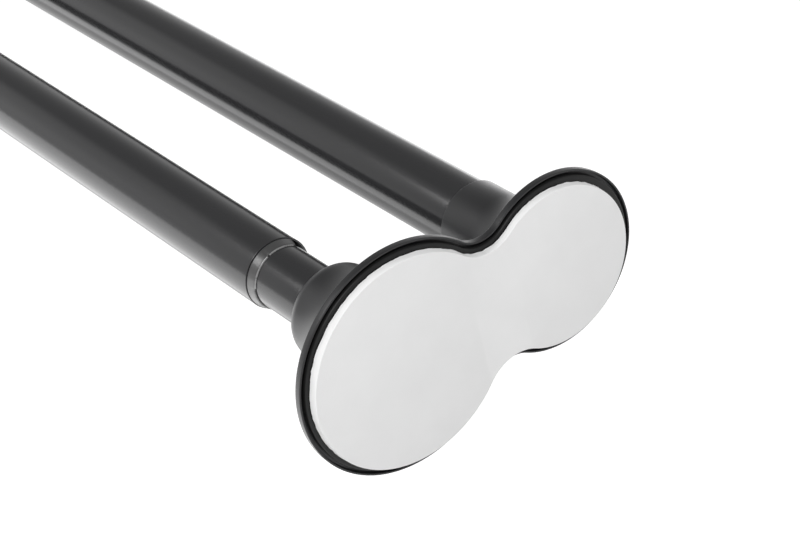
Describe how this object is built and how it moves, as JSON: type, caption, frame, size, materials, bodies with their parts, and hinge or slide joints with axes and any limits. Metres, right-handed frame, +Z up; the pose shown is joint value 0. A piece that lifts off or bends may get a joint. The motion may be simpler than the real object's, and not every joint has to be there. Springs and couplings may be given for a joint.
{
  "type": "double shower curtain rod",
  "caption": "Two telescoping black tension rods side by side, held head to tail between lobed wall ends with white pads.",
  "frame": {"origin": "middle of the near wall face, on the line between the two rod axes", "axes": "+X out of the near wall face into the wall, rods along -X; +Y from the front rod to the rear rod; +Z up"},
  "size_m": [1.1176, 0.1378, 0.0786],
  "materials": {
    "satin_black_tube": "satin black powder coat on steel tube",
    "black_plastic": "satin moulded black plastic",
    "grey_nylon": "smooth dark grey nylon",
    "white_foam": "soft white closed-cell pad",
    "zinc_steel": "zinc-plated steel",
    "white_nylon": "natural white nylon"
  },
  "bodies": {
    "near_end": {"near_cover": "black_plastic", "near_pad_plate": "black_plastic", "near_pad": "white_foam", "front_inner_tube": "satin_black_tube", "front_fixed_plug": "black_plastic", "front_fixing_screw": "zinc_steel", "front_nut_plug": "white_nylon"},
    "far_end": {"far_cover": "black_plastic", "far_pad_plate": "black_plastic", "far_pad": "white_foam", "rear_inner_tube": "satin_black_tube", "rear_fixed_plug": "black_plastic", "rear_fixing_screw": "zinc_steel", "rear_nut_plug": "white_nylon"},
    "front_outer": {"front_outer_tube": "satin_black_tube", "front_mouth_bushing": "grey_nylon", "front_swivel_plug": "black_plastic", "front_swivel_screw": "zinc_steel"},
    "rear_outer": {"rear_outer_tube": "satin_black_tube", "rear_mouth_bushing": "grey_nylon", "rear_swivel_plug": "black_plastic", "rear_swivel_screw": "zinc_steel"},
    "front_washer": {"front_thrust_washer": "zinc_steel"},
    "front_drive": {"front_drive_screw": "zinc_steel", "front_lock_hub": "white_nylon", "front_lock_sleeve": "white_nylon", "front_lock_nut": "zinc_steel"},
    "rear_washer": {"rear_thrust_washer": "zinc_steel"},
    "rear_drive": {"rear_drive_screw": "zinc_steel", "rear_lock_hub": "white_nylon", "rear_lock_sleeve": "white_nylon", "rear_lock_nut": "zinc_steel"}
  },
  "joints": [
    {"name": "extension", "type": "slide", "parent": "near_end", "child": "far_end", "axis": [-1, 0, 0], "range_m": [-0.0244, 0.711]},
    {"name": "front_turn", "type": "hinge", "parent": "far_end", "child": "front_outer", "pos_m": [-1.1104, -0.02965, 0], "axis": [-1, 0, 0], "range_deg": [0, 1800]},
    {"name": "front_jack_travel", "type": "slide", "parent": "near_end", "child": "front_washer", "axis": [-1, 0, 0], "range_m": [0, 0.0402]},
    {"name": "front_jack_turn", "type": "hinge", "parent": "front_washer", "child": "front_drive", "pos_m": [-0.9602, -0.02965, 0], "axis": [-1, 0, 0], "range_deg": [0, 1805]},
    {"name": "rear_turn", "type": "hinge", "parent": "near_end", "child": "rear_outer", "pos_m": [-0.0072, 0.02965, 0], "axis": [1, 0, 0], "range_deg": [0, 1800]},
    {"name": "rear_jack_travel", "type": "slide", "parent": "far_end", "child": "rear_washer", "axis": [1, 0, 0], "range_m": [0, 0.0402]},
    {"name": "rear_jack_turn", "type": "hinge", "parent": "rear_washer", "child": "rear_drive", "pos_m": [-0.1574, 0.02965, 0], "axis": [1, 0, 0], "range_deg": [0, 1805]}
  ],
  "couplings": [
    {"joint": "front_jack_travel", "follows": "front_turn", "m_per_rad": 0.0012732},
    {"joint": "front_jack_turn", "follows": "front_turn", "ratio": 1},
    {"joint": "rear_jack_travel", "follows": "rear_turn", "m_per_rad": 0.0012732},
    {"joint": "rear_jack_turn", "follows": "rear_turn", "ratio": 1}
  ]
}
